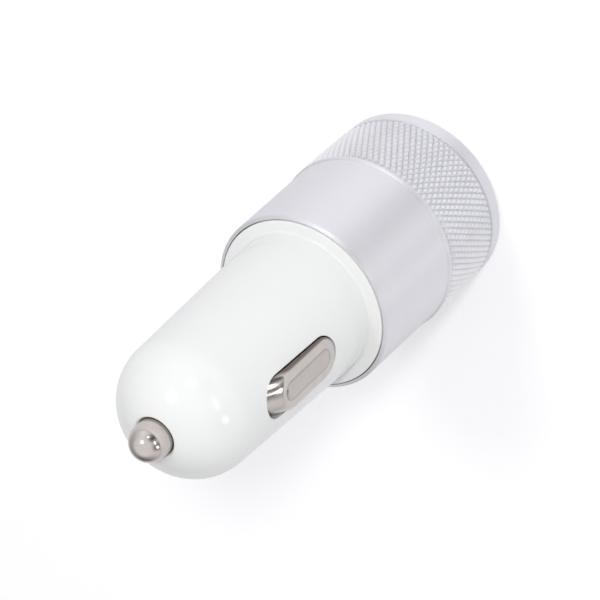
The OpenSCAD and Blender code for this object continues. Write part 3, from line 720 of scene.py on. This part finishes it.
floor_mesh = bpy.data.meshes.new("floor")
floor_points = [(x * floor_reach, y * floor_reach, cad_box[0][2]) for x, y in corners]
floor_mesh.from_pydata(floor_points, [], [(0, 1, 2, 3)])
floor = linked("floor", floor_mesh)
floor_finish = bpy.data.materials.new("white_floor")
floor_finish.use_nodes = True
tree = floor_finish.node_tree
seen_by = add_node(tree, "ShaderNodeLightPath").outputs
glow = math_node(tree, "MULTIPLY", seen_by["Is Glossy Ray"], mirrored_glow)
glow = math_node(tree, "MULTIPLY_ADD", seen_by["Is Camera Ray"], camera_glow, glow)
feed(tree, tree.nodes["Principled BSDF"], {
    "Base Color": (0.86, 0.86, 0.87, 1),
    "Roughness": 0.9,
    "Specular IOR Level": 0.1,
    "Emission Color": (1, 1, 1, 1),
    "Emission Strength": glow,
})
floor_mesh.materials.append(floor_finish)


# World

# Low walls, as pale cards between dark gaps: their level by their bearing in degrees
cards = [
    (-180, 0.30), (-168, 0.55), (-158, 0.95), (-147, 0.45), (-135, 0.10), (-121, 0.40), (-104, 1.05),
    (-76, 1.40), (-50, 1.1), (-20, 0.8), (0, 0.72), (44, 0.48), (66, 0.22), (88, 0.38), (112, 0.80),
    (130, 1.1), (146, 1.1), (160, 0.45), (170, 0.15), (180, 0.30),
]
# The cards are a little bluer than grey
card_blue = 1.02
# A tent takes over between these heights on a unit sphere, and is whiter in mirrored rays
walls_end, tent_start = 0.42, 0.72
tent_colour, mirrored_tent_colour = (0.92, 0.92, 0.94, 1), (1.22, 1.22, 1.25, 1)
white = (1, 1, 1, 1)
world_strength = 0.74

world = bpy.data.worlds.new("studio")
world.use_nodes = True
bpy.context.scene.world = world
tree = world.node_tree
direction = add_node(tree, "ShaderNodeTexCoord").outputs["Generated"]
toward = add_node(tree, "ShaderNodeSeparateXYZ", {"Vector": direction}).outputs
seen_by = add_node(tree, "ShaderNodeLightPath").outputs
round_about = map_range(tree, math_node(tree, "ARCTAN2", toward["Y"], toward["X"]), -math.pi, math.pi)
walls = ramp(tree, round_about, [(a / 360 + 0.5, (v, v, card_blue * v)) for a, v in cards])
overhead = ramp(tree, toward["Z"], [(walls_end, (0, 0, 0)), (tent_start, (1, 1, 1))])
tent = mix(tree, seen_by["Is Glossy Ray"], tent_colour, mirrored_tent_colour)
studio = mix(tree, overhead, walls, tent)
background = mix(tree, seen_by["Is Camera Ray"], studio, white)
feed(tree, tree.nodes["Background"], {"Color": background, "Strength": world_strength})


# Lamps

middle = (Vector(cad_box[0]) + Vector(cad_box[1])) / 2
view_line = (camera_at - middle).normalized()


def softbox(name, to_right, to_up, distance, size, level, roll=0, mirrored=True):
    """A soft lamp that faces the part, turned from the photograph's view line by some degrees
    to its right and then up. Level is the light it gives, 1 for a white card in full light.
    Roll turns it clockwise, and a lamp that isn't mirrored leaves no highlight."""
    lamp = bpy.data.lights.new(name, "AREA")
    lamp.shape = "RECTANGLE"
    lamp.size, lamp.size_y = size
    lamp.energy = level * math.pi**2 * distance**2
    turn, rise = math.radians(to_right), math.radians(to_up)
    level_out = view_line * math.cos(turn) + camera_right * math.sin(turn)
    out = level_out * math.cos(rise) + camera_up * math.sin(rise)
    across = Matrix.Rotation(math.radians(-roll), 3, out) @ camera_up.cross(out).normalized()
    holder = linked(name, lamp)
    holder.visible_glossy = mirrored
    holder.matrix_world = placed(middle + out * distance, across, out.cross(across), out)


softbox("main_lamp", to_right=-3.5, to_up=4.5, distance=0.9, size=(0.11, 0.11), level=0.31, mirrored=False)
softbox("left_lamp", to_right=-37, to_up=0, distance=0.8, size=(0.12, 0.12), level=0.105)
softbox("right_lamp", to_right=31, to_up=-4, distance=0.8, size=(0.045, 0.22), level=0.04, roll=-22)
softbox("low_lamp", to_right=50, to_up=-25, distance=0.8, size=(0.16, 0.12), level=0.05)
softbox("top_lamp", to_right=-4, to_up=26, distance=0.8, size=(0.16, 0.03), level=0.022)

view_settings = bpy.context.scene.view_settings
view_settings.view_transform = "Standard"
